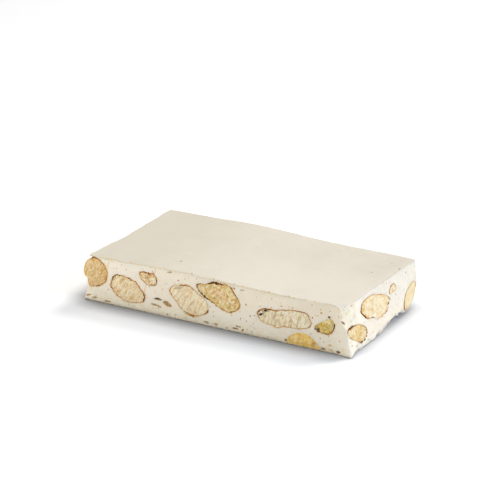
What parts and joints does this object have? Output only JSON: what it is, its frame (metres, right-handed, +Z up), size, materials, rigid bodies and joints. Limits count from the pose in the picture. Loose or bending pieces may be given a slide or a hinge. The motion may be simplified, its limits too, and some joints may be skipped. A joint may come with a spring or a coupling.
{
  "type": "nougat bar",
  "caption": "Flat cut bar of soft white nougat, with almonds and pistachios laid open on its cut sides, between two thin sheets of edible wafer.",
  "frame": {"origin": "middle of the bar's box in plan, at its resting face", "axes": "+X along the bar, -Y out of the long front cut face, +Z up through the thickness"},
  "size_m": [0.1138, 0.059, 0.0194],
  "materials": {
    "nougat": "satin, off-white, a little translucent, with fine grain and knife marks",
    "wafer": "matte, thin edible wafer, off-white",
    "almond": "cut nut flesh, matte, fibrous, with a thin brown skin at the rim",
    "pistachio": "cut nut flesh, matte, yellow-green, with a dark skin at the rim"
  },
  "bodies": {
    "root": {"nougat": "nougat", "wafer_top": "wafer", "wafer_bottom": "wafer", "almond_f1": "almond", "almond_f2": "almond", "almond_f3": "almond", "almond_f4": "almond", "almond_f5": "almond", "almond_f6": "almond", "almond_f7": "almond", "pistachio_f1": "pistachio", "almond_r1": "almond", "almond_r2": "almond", "almond_r3": "almond", "almond_r4": "almond", "almond_b1": "almond", "almond_b2": "almond", "pistachio_b1": "pistachio", "almond_b3": "almond", "almond_b4": "almond", "almond_b5": "almond", "almond_b6": "almond", "almond_b7": "almond", "almond_b8": "almond", "almond_l1": "almond", "almond_l2": "almond", "almond_l3": "almond", "pistachio_l1": "pistachio"}
  },
  "joints": []
}
